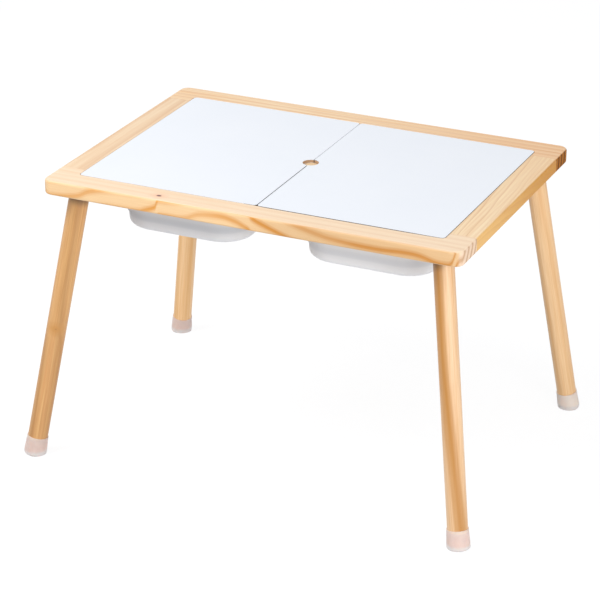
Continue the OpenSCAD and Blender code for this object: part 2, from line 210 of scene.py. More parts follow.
def growthRings(tree, look, at):
    # rings follow the distance from the pith, bent by slow noise and by how the log wandered
    wave = grainNoise(tree, at["board"], look["waveLength"], look["waveWidth"], look["waveDetail"],
                      look["seed"])
    distance = addNode(tree, "ShaderNodeVectorMath", [at["section"], (0, *look["pith"])],
                       operation="DISTANCE").outputs["Value"]
    bent = addNode(tree, "ShaderNodeMath", [wave, look["wave"], distance],
                   operation="MULTIPLY_ADD").outputs[0]
    if "slant" in look:                                   # sawn a little off the log's own line
        bent = addNode(tree, "ShaderNodeMath", [at["along"], look["slant"], bent],
                       operation="MULTIPLY_ADD").outputs[0]
    if "drift" in look:
        drift = addCurve(tree, at["along"], look["drift"])
        if "outer" in at:
            drift = addNode(tree, "ShaderNodeMath", [drift, at["outer"]], operation="MULTIPLY").outputs[0]
        bent = addNode(tree, "ShaderNodeMath", [bent, drift], operation="ADD").outputs[0]
    if "knot" in look:                                    # rings go round a knot
        at["knot"] = knotReach(tree, look["knot"], at["board"], wave)
        pushed = addNode(tree, "ShaderNodeMapRange", [
            at["knot"], 0.0, look["knotPushReach"], look["knot"]["push"], 0.0],
            interpolation_type="SMOOTHERSTEP")
        bent = addNode(tree, "ShaderNodeMath", [bent, pushed.outputs[0]], operation="ADD").outputs[0]
    phase = addNode(tree, "ShaderNodeMath", [bent, 1 / look["ringPitch"], look["ringStart"]],
                    operation="MULTIPLY_ADD").outputs[0]
    step = addNode(tree, "ShaderNodeMath", [phase], operation="FRACT").outputs[0]
    lateWood = addNode(tree, "ShaderNodeValToRGB", [step])
    setRamp(lateWood, look["ringShape"])
    count = addNode(tree, "ShaderNodeMath", [phase], operation="FLOOR").outputs[0]
    chance = addNode(tree, "ShaderNodeTexWhiteNoise", {"W": count}, noise_dimensions="1D").outputs["Value"]
    weight = addNode(tree, "ShaderNodeMapRange", [chance, 0.0, 1.0, look["faintRing"], 1.0]).outputs[0]
    ring = addNode(tree, "ShaderNodeMath", [lateWood.outputs[0], weight], operation="MULTIPLY").outputs[0]
    return ring, lateWood.outputs[0]


def boardGround(tree, look, at):
    # early wood with broad streaks
    streak = grainNoise(tree, at["board"], look["streakLength"], look["streakWidth"], look["streakDetail"],
                        look["seed"] + look["streakSeed"])
    streakMix = addNode(tree, "ShaderNodeMapRange", [
        streak, *look["streakRange"], 0.0, look["streakShare"]])
    ground = addNode(tree, "ShaderNodeMix", {
        0: streakMix.outputs[0], 6: linearColour(look["early"]), 7: linearColour(look["blush"])},
        data_type="RGBA").outputs[2]
    if "tone" in look:                                    # the board's colour drifts from end to end
        tone = look["tone"]
        share = addNode(tree, "ShaderNodeMapRange", [
            at["along"], tone["start"], tone["end"], 0.0, tone["share"]], interpolation_type="SMOOTHSTEP")
        ground = addNode(tree, "ShaderNodeMix", {
            0: share.outputs[0], 6: ground, 7: linearColour(tone["colour"])}, data_type="RGBA").outputs[2]
    return ground


def outerFace(tree, look, at, ground):
    # a board's outer face has its own ground, rings and strength of ring along its length
    side = look["outerSide"]
    far = addNode(tree, "ShaderNodeMapRange", [at["along"], side["start"], side["end"], 0.0, 1.0],
                  interpolation_type="SMOOTHSTEP").outputs[0]
    face = addNode(tree, "ShaderNodeMix", {
        0: far, 6: linearColour(side["colour"]), 7: linearColour(side["farColour"])}, data_type="RGBA")
    ground = addNode(tree, "ShaderNodeMix", {
        0: at["outer"], 6: ground, 7: face.outputs[2]}, data_type="RGBA").outputs[2]
    bands = addCurve(tree, at["along"], side["bands"])
    strength = addNode(tree, "ShaderNodeMapRange", {
        0: at["outer"], 3: look["ringShare"], 4: bands}).outputs[0]
    late = addNode(tree, "ShaderNodeMix", {
        0: far, 6: linearColour(side["late"]), 7: linearColour(look["late"])}, data_type="RGBA").outputs[2]
    return ground, strength, late


def paintKnot(tree, look, at, colour):
    knot = look["knot"]
    widths = addNode(tree, "ShaderNodeMath", [at["knot"], 1 / look["knotHaloReach"]], operation="MULTIPLY")
    halo = addNode(tree, "ShaderNodeValToRGB", [widths.outputs[0]])
    setRamp(halo, look["knotHaloShape"])
    colour = addNode(tree, "ShaderNodeMix", {
        0: halo.outputs[0], 6: colour, 7: linearColour(knot["halo"])}, data_type="RGBA").outputs[2]
    core = addNode(tree, "ShaderNodeMapRange", [at["knot"], *look["knotCoreRange"], 0.0, 1.0],
                   interpolation_type="SMOOTHSTEP")
    return addNode(tree, "ShaderNodeMix", {
        0: core.outputs[0], 6: colour, 7: linearColour(knot["core"])}, data_type="RGBA").outputs[2]


def paintRailShadow(tree, look, at, colour):
    # painted shadow of the rail: the leg is darkened close under the rail, on the side of the leg that is
    # given
    joint = look["joint"]
    near = addNode(tree, "ShaderNodeMapRange", [at["along"], *look["jointRange"], 0.0, joint["share"]],
                   interpolation_type="SMOOTHSTEP").outputs[0]
    side = addNode(tree, "ShaderNodeVectorMath", [at["normal"], joint["facing"]],
                   operation="DOT_PRODUCT").outputs["Value"]
    side = addNode(tree, "ShaderNodeMapRange", [side, *look["jointSideRange"], 0.0, near]).outputs[0]
    return addNode(tree, "ShaderNodeMix", {
        0: side, 6: colour, 7: linearColour(joint["colour"])}, data_type="RGBA").outputs[2]


def paintGapShadow(tree, gapShadow, at, colour):
    # a painted shadow of the gap in front of the right lid, drawn on a part of the recess's edge: it fades in
    # along x from both ends, y and z
    spot = addNode(tree, "ShaderNodeSeparateXYZ", [at["object"]]).outputs
    mark = gapShadow["share"]
    for value, (nothing, full) in zip((spot[0], spot[0], spot[1], spot[2]), gapShadow["fades"]):
        mark = addNode(tree, "ShaderNodeMapRange", [value, nothing, full, 0.0, mark]).outputs[0]
    return addNode(tree, "ShaderNodeMix", {
        0: mark, 6: colour, 7: linearColour(gapShadow["colour"])}, data_type="RGBA").outputs[2]


def paintEndGrain(tree, look, at, lateWood, colour):
    # the same rings cut across, darker because the open pores drink the lacquer
    across = addNode(tree, "ShaderNodeSeparateXYZ", [at["facing"]]).outputs[0]
    across = addNode(tree, "ShaderNodeMath", [across], operation="ABSOLUTE").outputs[0]
    endMask = addNode(tree, "ShaderNodeMapRange", [across, *look["endRange"], 0.0, 1.0],
                      interpolation_type="SMOOTHSTEP").outputs[0]
    pores = addNode(tree, "ShaderNodeTexNoise", {
        "Vector": at["section"], "Scale": look["poresPerMm"], "Detail": look["poreDetail"]}).outputs[0]
    poreTone = addNode(tree, "ShaderNodeMapRange", [pores, *look["poreRange"], *look["poreTone"]]).outputs[0]
    endRing = addNode(tree, "ShaderNodeMath", [lateWood, poreTone], operation="MULTIPLY").outputs[0]
    for end in look["ends"]:
        endColour = addNode(tree, "ShaderNodeMix", {
            0: endRing, 6: linearColour(end["early"]), 7: linearColour(end["late"])},
            data_type="RGBA").outputs[2]
        where = addNode(tree, "ShaderNodeMath", [at["along"], 0.0],
                        operation="GREATER_THAN" if end["side"] > 0 else "LESS_THAN")
        mask = addNode(tree, "ShaderNodeMath", [endMask, where.outputs[0]], operation="MULTIPLY")
        colour = addNode(tree, "ShaderNodeMix", {
            0: mask.outputs[0], 6: colour, 7: endColour}, data_type="RGBA").outputs[2]
    return colour, endMask


def pineMaterial(name, look):
    look = {**pineShared, **look}
    material, tree = newMaterial(name)
    at = placesOnBoard(tree, look)
    ring, lateWood = growthRings(tree, look, at)
    ground, strength, late = boardGround(tree, look, at), look["ringShare"], linearColour(look["late"])
    if "outer" in at:
        ground, strength, late = outerFace(tree, look, at, ground)
    ringMix = addNode(tree, "ShaderNodeMath", [ring, strength], operation="MULTIPLY")
    colour = addNode(tree, "ShaderNodeMix", {
        0: ringMix.outputs[0], 6: ground, 7: late}, data_type="RGBA").outputs[2]
    fibre = grainNoise(tree, at["board"], look["fibreLength"], look["fibreWidth"], look["fibreDetail"])
    fibreMix = addNode(tree, "ShaderNodeMapRange", [fibre, *look["fibreRange"], 0.0, look["fibreShare"]])
    colour = addNode(tree, "ShaderNodeMix", {
        0: fibreMix.outputs[0], 6: colour, 7: linearColour(look["late"])}, data_type="RGBA").outputs[2]
    if "knot" in look:
        colour = paintKnot(tree, look, at, colour)
    # the rail's shadow, painted on the top of a leg
    if "joint" in look:
        colour = paintRailShadow(tree, look, at, colour)
    # the gap's shadow, painted along the recess's edge
    if "gapShadow" in look:
        colour = paintGapShadow(tree, look["gapShadow"], at, colour)
    colour, endMask = paintEndGrain(tree, look, at, lateWood, colour)
    sockets = {
        "Coat Weight": look["coat"], "Coat Roughness": look["coatRoughness"],
        "Specular IOR Level": look["gloss"],
    }
    finishSurface(tree, colour, fibre, {**look, "sockets": sockets}, endMask)
    return material


def dressBoard(nodeName, materialName, look):
    dress(nodeName, pineMaterial(materialName, {"centre": boxMiddle(nodeName), **look}))


alongX = Euler((0, 0, 0))                                 # these turn a board's length to X
alongY = Euler((0, 0, -math.pi / 2))

frontRailLook = {
    "turn": alongX, "seed": 2.0, "pith": (-134, 68), "ringPitch": 17, "ringStart": 0.965,
    "waveLength": 240, "wave": 1.0, "faintRing": 0.8,
    "ringShape": [(0.0, 0.06), (0.22, 0.12), (0.36, 0.55), (0.48, 1.0), (0.58, 0.9), (0.7, 0.4),
                  (0.84, 0.08), (1.0, 0.06)],
    "drift": [(-400, -16), (-338, -12), (-300, -3), (-262, 1), (-205, 2.5), (-195, 4), (-172, 9.5),
              (-169, 15), (-165, 17.5), (-125, 19), (-84, 27), (-62, 28.5), (-44, 29), (-25, 27.5),
              (0, 22.5), (8, 20), (14, 16), (38, 10.5), (137, -5.5), (175, -8.5), (244, -10), (312, -8.5),
              (373, -14), (382, -11.5), (387, -5), (391, 2), (400, 9)],
    "early": "#F9E1C2", "blush": "#F6D7B2", "late": "#C68232", "ringShare": 0.16, "streakShare": 0.4,
    "outerSide": {"facing": (0, -1, 0), "colour": "#FCD8A7", "farColour": "#E4BF90", "late": "#E3952F",
                  "start": -80, "end": 140,
                  "bands": [(-400, 0.6), (-290, 0.7), (-235, 0.5), (-195, 0.8), (-160, 0.95),
                            (-110, 0.6), (-45, 0.8), (0, 0.85), (15, 1.0), (60, 1.0), (110, 0.7),
                            (190, 0.85), (230, 1.0), (310, 1.0), (400, 0.8)]},
    "knot": {"place": (-174, -18, 14), "size": (6.5, 4.5, 40), "ragged": 0.5, "push": 3.0,
             "halo": "#F3C4A2", "core": "#74494A"},
    # painted shadow of the gap in front of the right lid
    "gapShadow": {"colour": "#46331F", "share": 0.92,        # in metres: beside the right lid, near the top
               "fades": [(0.004, 0.012), (0.347, 0.28), (-0.2378, -0.2371), (0.5420, 0.5426)]},
    "ends": [{"side": 1, "early": "#F4D8BC", "late": "#C79F7A"},
             {"side": -1, "early": "#F2CDA2", "late": "#B98450"}],
}
dressBoard("front_rail", "pineFrontRailLacquered", frontRailLook)

backRailLook = {
    "turn": alongX, "seed": 5.0, "pith": (-180, 18), "ringPitch": 16.5, "ringStart": 0.1,
    "waveLength": 420, "wave": 5.0,
    "early": "#FAE1BB", "blush": "#F2C592", "late": "#C97F42", "ringShare": 0.42, "streakShare": 0.9,
    "tone": {"start": -100, "end": 380, "colour": "#EFC090", "share": 0.6},
    "ends": [{"side": 1, "early": "#B8742E", "late": "#230A00"},
             {"side": -1, "early": "#B98252", "late": "#7F5028"}],
}
dressBoard("back_rail", "pineBackRailLacquered", backRailLook)

sideRailEnds = [{"side": side, "early": "#E2B78B", "late": "#A6743F"} for side in (1, -1)]
leftRailLook = {
    "turn": alongY, "seed": 8.0, "pith": (60, -140), "ringPitch": 11, "ringStart": 0.4,
    "waveLength": 300, "wave": 6.0,
    "early": "#F4DAB7", "blush": "#EDCAA2", "late": "#CB8C54", "ringShare": 0.36, "streakShare": 0.7,
    "ends": sideRailEnds,
}
dressBoard("left_rail", "pineLeftRailLacquered", leftRailLook)

rightRailLook = {
    "turn": alongY, "seed": 11.0, "pith": (90, -60), "ringPitch": 6.5, "ringStart": 0.2,
    "waveLength": 170, "wave": 11.0, "slant": 0.044, "faintRing": 0.15,
    "early": "#FBE3BC", "blush": "#F1CEA2", "late": "#CB8550", "ringShare": 0.42, "streakShare": 0.8,
    "tone": {"start": -210, "end": 210, "colour": "#F1CC9C", "share": 0.5},
    "outerSide": {"facing": (0, -1, 0), "colour": "#F0BF72", "farColour": "#D4942A", "late": "#C4802C",
                  "start": -200, "end": 200, "bands": [(-210, 0.4), (0, 0.5), (210, 0.6)]},
    "ends": sideRailEnds,
}
dressBoard("right_rail", "pineRightRailLacquered", rightRailLook)

# ledges and crossbar: planed pine, thinly sealed, duller than the rails
ledgeLook = {
    "early": "#F2D8B0", "blush": "#EBCB9E", "late": "#C98F55", "ringShare": 0.3, "ringPitch": 9,
    "ringStart": 0.3, "waveLength": 260, "wave": 5.0, "roughness": 0.55,
    "ends": [{"side": side, "early": "#D9AC7C", "late": "#9A6A3C"} for side in (1, -1)],
}
ledges = {
    "front_ledge": {"turn": alongX, "pith": (-70, 90), "seed": 20.0},
    "back_ledge": {"turn": alongX, "pith": (90, -60), "seed": 21.0},
    "left_ledge": {"turn": alongY, "pith": (50, 120), "seed": 22.0},
    "right_ledge": {"turn": alongY, "pith": (-80, -90), "seed": 23.0},
    "crossbar": {"turn": alongY, "pith": (20, -130), "seed": 24.0},
}
for nodeName, board in ledges.items():
    dressBoard(nodeName, "pinePlaned_" + nodeName, {**ledgeLook, **board})

# legs: turned pine, lacquered. ringsFace is the way across a leg in which its rings follow one
# another, pithReach is how far off its pith lay, and joint paints the rail's shadow on the side it faces
legLook = {
    "ringShape": [(0.0, 0.0), (0.25, 0.15), (0.5, 0.6), (0.68, 1.0), (0.82, 0.5), (1.0, 0.0)],
    "ringsFace": (0.9, 0.4, 0), "pithReach": 90, "waveLength": 420, "wave": 4.0,
    "streakWidth": 5, "streakShare": 0.7, "fibreWidth": 1.3, "fibreShare": 0.4, "gloss": 0.5, "coat": 0.25,
    "ends": [{"side": 1, "early": "#C99258", "late": "#8F5F33"}],
}
legLooks = {
    "front_left": {"seed": 30.0, "early": "#E8B576", "blush": "#D7995E", "late": "#A66E2E",
                   "ringShare": 0.55, "ringPitch": 30, "ringStart": 0.613,
                   "drift": [(0, -5), (180, -5), (260, -10), (330, -16), (540, -20)],
                   # painted shadow of the rail on this leg's top
                   "joint": {"share": 0.76, "facing": (0.5, -0.85, 0), "colour": "#3A2004"},
                   "knot": {"place": (268, -13.5, 6.5), "size": (5, 5, 8), "ragged": 0.8, "push": 3.0,
                            "halo": "#CC9048", "core": "#9A6A2C"}},
    "front_right": {"seed": 31.0, "early": "#F6D2A8", "blush": "#E8B784", "late": "#B67820",
                    "ringShare": 0.95, "ringPitch": 40, "ringStart": 0.25,
                    "ringShape": [(0.0, 0.05), (0.2, 0.2), (0.36, 0.75), (0.55, 1.0), (0.7, 0.8),
                                  (0.82, 0.25), (1.0, 0.05)],
                    "drift": [(0, 10), (180, 9), (260, 5), (330, 1), (430, -4), (540, -9)],
                    # painted shadow of the rail on this leg's top
                    "joint": {"share": 0.7, "facing": (-0.95, -0.3, 0), "colour": "#3A2004"}},
    "back_left": {"seed": 32.0, "early": "#FFD6A4", "blush": "#F8C284", "late": "#DAA050",
                  "ringShare": 0.6, "ringPitch": 24, "ringStart": 0.847, "drift": [(0, -8), (540, -10)]},
    "back_right": {"seed": 33.0, "early": "#FAD3A2", "blush": "#F3C38C", "late": "#D09752",
                   "ringShare": 0.45, "ringPitch": 24, "ringStart": 0.5,
                   "drift": [(0, 5), (300, -3), (540, -6)]},
}
for corner, ownLook in legLooks.items():
    look = {**legLook, **ownLook}
    top = atCorner(legTop, *corners[corner])
    foot = atCorner(legFoot, *corners[corner])
    turn = (foot - top).rotation_difference(Vector((1, 0, 0))).to_euler()
    across = turn.to_matrix() @ Vector(look["ringsFace"])
    pith = Vector((across.y, across.z)).normalized() * -look["pithReach"]
    dress(corner + "_leg", pineMaterial("pineTurned_" + corner + "_leg", {
        **look, "turn": turn, "centre": top, "pith": pith}))
print("materials: pine boards and legs")


def laminateMaterial():
    # white melamine sheet, pressed smooth: cool white with a soft satin-gloss sheen
    look = {
        "white": "#EEF1F5", "shade": "#EAEEF3", "cloudSize": 0.12, "peelSize": 0.0015,
        # the cut edge's dark colour is painted shade for the gaps
        "shadedCutEdge": "#1A1310", "edgeRange": (0.6, 0.3), "shadeSlope": 10.0, "shadeRange": (-0.01, 0.015),
        "roughness": 0.3, "bump": 0.05, "bumpDepth": 0.00005,
    }
    material, tree = newMaterial("melamineWhitePressed")
    place = addNode(tree, "ShaderNodeTexCoord").outputs
    cloud = addNode(tree, "ShaderNodeTexNoise", {
        "Vector": place["Object"], "Scale": 1 / look["cloudSize"], "Detail": 2.0})
    peel = addNode(tree, "ShaderNodeTexNoise", {
        "Vector": place["Object"], "Scale": 1 / look["peelSize"], "Detail": 1.0})
    colour = addNode(tree, "ShaderNodeMix", {
        0: cloud.outputs[0], 6: linearColour(look["white"]), 7: linearColour(look["shade"])},
        data_type="RGBA")
    # the cut edge is painted dark as painted shade of the gaps: on the right lid and, in the seam,
    # from the finger hole to the front
    spot = addNode(tree, "ShaderNodeSeparateXYZ", [place["Object"]]).outputs
    lean = addNode(tree, "ShaderNodeMath", [spot[0], look["shadeSlope"]], operation="MULTIPLY").outputs[0]
    lean = addNode(tree, "ShaderNodeMath", [lean, spot[1]], operation="SUBTRACT").outputs[0]
    inShade = addNode(tree, "ShaderNodeMapRange", [lean, *look["shadeRange"], 0.0, 1.0],
                   interpolation_type="SMOOTHSTEP").outputs[0]
    rise = addNode(tree, "ShaderNodeSeparateXYZ", [place["Normal"]]).outputs[2]
    rise = addNode(tree, "ShaderNodeMath", [rise], operation="ABSOLUTE").outputs[0]
    edge = addNode(tree, "ShaderNodeMapRange", [rise, *look["edgeRange"], 0.0, 1.0]).outputs[0]
    shadedEdge = addNode(tree, "ShaderNodeMath", [inShade, edge], operation="MULTIPLY").outputs[0]
    colour = addNode(tree, "ShaderNodeMix", {
        0: shadedEdge, 6: colour.outputs[2], 7: linearColour(look["shadedCutEdge"])}, data_type="RGBA")
    finishSurface(tree, colour.outputs[2], peel.outputs[0], look)
    return material


def fibreboardMaterial():
    # cut edge of medium-density fibreboard: fine brown fibres, matt and a little fuzzy
    look = {
        "light": "#DAB898", "dark": "#A9886A", "fuzzSize": 0.0012, "fuzzSquash": (1, 1, 3),
        # the seam's painted light and painted shade
        "seamPaintedLight": "#FAFBFC", "seamPaintedShade": "#5A483C", "seamRange": (0.004, 0.002), "rearRange": (0.019, 0.021),
        "holeRadius": 0.0165, "holeFade": 0.002,
        # a painted shade line along the right lid's gap
        "shadeLine": "#2A201A", "shadeLineDepth": 0.0005, "shadeLineFade": 0.0002, "shadeLineSideRange": (0.02, 0.04),
        "roughness": 0.85, "bump": 0.4, "bumpDepth": 0.0002,
    }
    material, tree = newMaterial("fibreboardCutEdge")
    place = addNode(tree, "ShaderNodeTexCoord").outputs["Object"]
    flat = addNode(tree, "ShaderNodeMapping", {"Vector": place, "Scale": look["fuzzSquash"]})
    fuzz = addNode(tree, "ShaderNodeTexNoise", {
        "Vector": flat.outputs[0], "Scale": 1 / look["fuzzSize"], "Detail": 4.0})
    colour = addNode(tree, "ShaderNodeMix", {
        0: fuzz.outputs[0], 6: linearColour(look["light"]), 7: linearColour(look["dark"])},
        data_type="RGBA")
    # painted shade: a dark line under the right lid's white face, where the gap beside it lies in shadow
    spot = addNode(tree, "ShaderNodeSeparateXYZ", [place]).outputs
    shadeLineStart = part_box("right_lid_core")[1].z - look["shadeLineDepth"]
    shadeLine = addNode(tree, "ShaderNodeMapRange", [
        spot[2], shadeLineStart, shadeLineStart + look["shadeLineFade"], 0.0, 1.0]).outputs[0]
    shadeLine = addNode(tree, "ShaderNodeMapRange", [spot[0], *look["shadeLineSideRange"], 0.0, shadeLine]).outputs[0]
    colour = addNode(tree, "ShaderNodeMix", {
        0: shadeLine, 6: colour.outputs[2], 7: linearColour(look["shadeLine"])}, data_type="RGBA")
    # painted light along the seam's edges behind the finger hole, where the gap's shade is lightened, and
    # painted shade in front of it, where the gap is dark
    off = addNode(tree, "ShaderNodeMath", [spot[0]], operation="ABSOLUTE").outputs[0]
    seam = addNode(tree, "ShaderNodeMapRange", [off, *look["seamRange"], 0.0, 1.0]).outputs[0]
    reach = addNode(tree, "ShaderNodeMath", [spot[1]], operation="ABSOLUTE").outputs[0]
    beyond = addNode(tree, "ShaderNodeMapRange", [
        reach, look["holeRadius"] - look["holeFade"], look["holeRadius"], 0.0, 1.0]).outputs[0]
    inSeam = addNode(tree, "ShaderNodeMath", [seam, beyond], operation="MULTIPLY").outputs[0]
    rear = addNode(tree, "ShaderNodeMapRange", [spot[1], *look["rearRange"], 0.0, 1.0]).outputs[0]
    # coat holds the seam's colours: painted light behind the finger hole, painted shade in front of it
    coat = addNode(tree, "ShaderNodeMix", {
        0: rear, 6: linearColour(look["seamPaintedShade"]), 7: linearColour(look["seamPaintedLight"])},
        data_type="RGBA").outputs[2]
    colour = addNode(tree, "ShaderNodeMix", {0: inSeam, 6: colour.outputs[2], 7: coat}, data_type="RGBA")
    finishSurface(tree, colour.outputs[2], fuzz.outputs[0], look)
    return material


laminate = laminateMaterial()
fibreboard = fibreboardMaterial()
for side in ("left", "right"):
    dress(side + "_lid_face", laminate)
    dress(side + "_lid_back", laminate)
    dress(side + "_lid_core", fibreboard)
print("materials: lids")


def binMaterial(name, wall, shadeBand):
    # injection-moulded polypropylene: cool white, a fine satin texture, light soaks in a little. Painted
    # shade: a grey band runs round the wall at the moulded shoulder below the rail, pale again towards the
    # foot
    look = {
        "foot": 0.43, "top": 0.54, "grainSize": 0.0008, "roughness": 0.45, "bump": 0.15, "bumpDepth": 0.00005,
        "lightness": [(0.0, 1.0), (0.09, 0.85), (0.18, 0.5), (0.27, 0.0), (0.36, 0.35), (0.46, 0.4),
                      (0.62, 0.85), (1.0, 1.0)],
        "sockets": {"Subsurface Weight": 0.1, "Subsurface Radius": (0.006, 0.006, 0.007),
                    "Subsurface Scale": 1.0},
    }
    material, tree = newMaterial(name)
    place = addNode(tree, "ShaderNodeTexCoord").outputs["Object"]
    grain = addNode(tree, "ShaderNodeTexNoise", {
        "Vector": place, "Scale": 1 / look["grainSize"], "Detail": 1.0})
    height = addNode(tree, "ShaderNodeSeparateXYZ", [place]).outputs[2]
    share = addNode(tree, "ShaderNodeMapRange", [height, look["foot"], look["top"], 0.0, 1.0]).outputs[0]
    colour = addNode(tree, "ShaderNodeMix", {
        0: addCurve(tree, share, look["lightness"]), 6: linearColour(shadeBand), 7: linearColour(wall)},
        data_type="RGBA")
    finishSurface(tree, colour.outputs[2], grain.outputs[0], look)
    return material


# the left bin's copy is darker than the right's: painted shade for the lesser light that reaches it
dress("left_bin", binMaterial("polypropylenePaintedShadeLeft", "#E9E9EB", "#C5C7CB"))
dress("right_bin", binMaterial("polypropylenePaintedShadeRight", "#F2F2F3", "#D3D4D7"))
print("materials: bins")


def siliconeMaterial(name, sleeve, cloudy):
    # moulded silicone rubber: cloudy and translucent. The wood inside tints its sleeve pink, the
    # solid sole under the wood stays pale, and its edges shine softly
    look = {
        "cloudSize": 0.012, "cloudRange": (0.35, 0.7), "cloudShare": 0.6,
        "sole": "#EDE2DD", "soleTop": 0.0085, "soleFade": 0.004,
        "lip": "#F6DAC8", "lipBottom": 0.032, "lipFade": 0.002,
        "roughness": 0.5, "ior": 1.41, "bump": 0.1, "bumpDepth": 0.0001,
        "sockets": {"Transmission Weight": 0.12, "Subsurface Weight": 0.4,
                    "Subsurface Radius": (0.004, 0.003, 0.0025), "Subsurface Scale": 1.0,
                    "Sheen Weight": 0.7, "Sheen Roughness": 0.35},
    }
    material, tree = newMaterial(name)
    place = addNode(tree, "ShaderNodeTexCoord").outputs["Object"]
    cloud = addNode(tree, "ShaderNodeTexNoise", {
        "Vector": place, "Scale": 1 / look["cloudSize"], "Detail": 2.0}).outputs[0]
    share = addNode(tree, "ShaderNodeMapRange", [
        cloud, *look["cloudRange"], 0.0, look["cloudShare"]]).outputs[0]
    wall = addNode(tree, "ShaderNodeMix", {
        0: share, 6: linearColour(sleeve), 7: linearColour(cloudy)}, data_type="RGBA").outputs[2]
    height = addNode(tree, "ShaderNodeSeparateXYZ", [place]).outputs[2]
    aboveSole = addNode(tree, "ShaderNodeMapRange", [
        height, look["soleTop"] - look["soleFade"], look["soleTop"] + look["soleFade"], 0.0, 1.0],
        interpolation_type="SMOOTHSTEP").outputs[0]
    colour = addNode(tree, "ShaderNodeMix", {
        0: aboveSole, 6: linearColour(look["sole"]), 7: wall}, data_type="RGBA").outputs[2]
    atLip = addNode(tree, "ShaderNodeMapRange", [
        height, look["lipBottom"], look["lipBottom"] + look["lipFade"], 0.0, 1.0],
        interpolation_type="SMOOTHSTEP").outputs[0]
    colour = addNode(tree, "ShaderNodeMix", {
        0: atLip, 6: colour, 7: linearColour(look["lip"])}, data_type="RGBA").outputs[2]
    finishSurface(tree, colour, cloud, look)
    return material


silicone = siliconeMaterial("siliconeMouldedCloudy", "#F0D4C8", "#E5C7BB")
# a lighter copy for the back right cap: painted light, where the tabletop shades the cap
litSilicone = siliconeMaterial("siliconeMouldedPaintedLight", "#FFEBDC", "#FADFCF")
for corner in corners:
    dress(corner + "_foot_cap", litSilicone if corner == "back_right" else silicone)
print("materials: foot caps")


def zincMaterial(name, look):
    # steel with bright zinc plating: light grey metal with a cloudy, slightly spangled sheen
    material, tree = newMaterial(name)
    place = addNode(tree, "ShaderNodeTexCoord")
    cloud = addNode(tree, "ShaderNodeTexNoise", {
        "Vector": place.outputs["Object"], "Scale": 1 / look["cloudSize"], "Detail": 3.0})
    colour = addNode(tree, "ShaderNodeMix", {
        0: cloud.outputs[0], 6: linearColour(look["light"]), 7: linearColour(look["dark"])},
        data_type="RGBA")
    finishSurface(tree, colour.outputs[2], cloud.outputs[0], {**look, "metallic": 1.0})
    return material


zincPressed = zincMaterial("zincPlatedPressedSteel", {
    "light": "#D5D7DA", "dark": "#B4B8BD", "cloudSize": 0.006, "roughness": 0.38, "roughSpread": 0.08})
zincScrew = zincMaterial("zincPlatedScrewSteel", {
    "light": "#DADBDD", "dark": "#B9BCC0", "cloudSize": 0.002, "roughness": 0.3, "roughSpread": 0.06})
for corner in corners:
    dress(corner + "_leg_plate", zincPressed)

# dowels: beech, turned and fluted, left bare: a pinkish tan with fine dense rings, quite matt
beech = pineMaterial("beechFlutedDowel", {
    "turn": alongY, "centre": boxMiddle("rail_dowels"), "seed": 40.0, "pith": (30, 20),
    "ringPitch": 3, "ringStart": 0.0, "waveLength": 90, "wave": 1.0,
    "early": "#E6BE8C", "blush": "#DDB07C", "late": "#B98653", "ringShare": 0.35, "roughness": 0.7,
    "ends": [{"side": side, "early": "#D2A371", "late": "#9A6B40"} for side in (1, -1)]})
print("materials: metal and dowels")


# Each kind of fastener is drawn once, along Z from its head, and set on every place given. An
# outline is a list of (share of the length, share of the radius)
turnedRows = {"along": 24, "onEnds": 3}
thread = {"ridgeShare": 0.075, "coreShare": 0.99, "coreSides": 20, "stepsInTurn": 18, "ridgeSides": 3}


def newFastenerTree(name, sizes):
    tree = bpy.data.node_groups.new(name, "GeometryNodeTree")
    tree.interface.new_socket("Places", in_out="INPUT", socket_type="NodeSocketGeometry")
    for size, value in sizes.items():
        kind = "NodeSocketInt" if isinstance(value, int) else "NodeSocketFloat"
        tree.interface.new_socket(size, in_out="INPUT", socket_type=kind)
    tree.interface.new_socket("Fasteners", in_out="OUTPUT", socket_type="NodeSocketGeometry")
    return tree, addNode(tree, "NodeGroupInput").outputs


def setOnPlaces(tree, places, shape, finish):
    # the "pointsTo" attribute of a place turns its fastener
    heading = addNode(tree, "GeometryNodeInputNamedAttribute", {"Name": "pointsTo"},
                      data_type="FLOAT_VECTOR")
    turned = addNode(tree, "FunctionNodeAlignRotationToVector", {"Vector": heading.outputs[0]}, axis="Z")
    spread = addNode(tree, "GeometryNodeInstanceOnPoints", {
        "Points": places, "Instance": shape, "Rotation": turned.outputs[0]})
    solid = addNode(tree, "GeometryNodeRealizeInstances", {"Geometry": spread.outputs[0]})
    painted = addNode(tree, "GeometryNodeSetMaterial", {"Geometry": solid.outputs[0], "Material": finish})
    addNode(tree, "NodeGroupOutput", {"Fasteners": painted.outputs[0]})


def moveUp(tree, shape, height):
    upwards = addNode(tree, "ShaderNodeCombineXYZ", {2: height})
    return addNode(tree, "GeometryNodeTransform", {
        "Geometry": shape, "Translation": upwards.outputs[0]}).outputs[0]


def followOutline(tree, shape, length, outline):
    spot = addNode(tree, "GeometryNodeInputPosition").outputs[0]
    height = addNode(tree, "ShaderNodeSeparateXYZ", [spot]).outputs[2]
    share = addNode(tree, "ShaderNodeMath", [height, length], operation="DIVIDE").outputs[0]
    width = addCurve(tree, share, outline)
    scale = addNode(tree, "ShaderNodeCombineXYZ", [width, width, 1.0])
    moved = addNode(tree, "ShaderNodeVectorMath", [spot, scale.outputs[0]], operation="MULTIPLY")
    return addNode(tree, "GeometryNodeSetPosition", {
        "Geometry": shape, "Position": moved.outputs[0]}).outputs[0]


def turnedForm(tree, length, radius, outline, sides):
    # a bar from zero up Z whose radius follows the outline
    bar = addNode(tree, "GeometryNodeMeshCylinder", {
        "Vertices": sides, "Side Segments": turnedRows["along"], "Fill Segments": turnedRows["onEnds"],
        "Radius": radius, "Depth": length}).outputs["Mesh"]
    half = addNode(tree, "ShaderNodeMath", [length, 0.5], operation="MULTIPLY").outputs[0]
    return followOutline(tree, moveUp(tree, bar, half), length, outline)


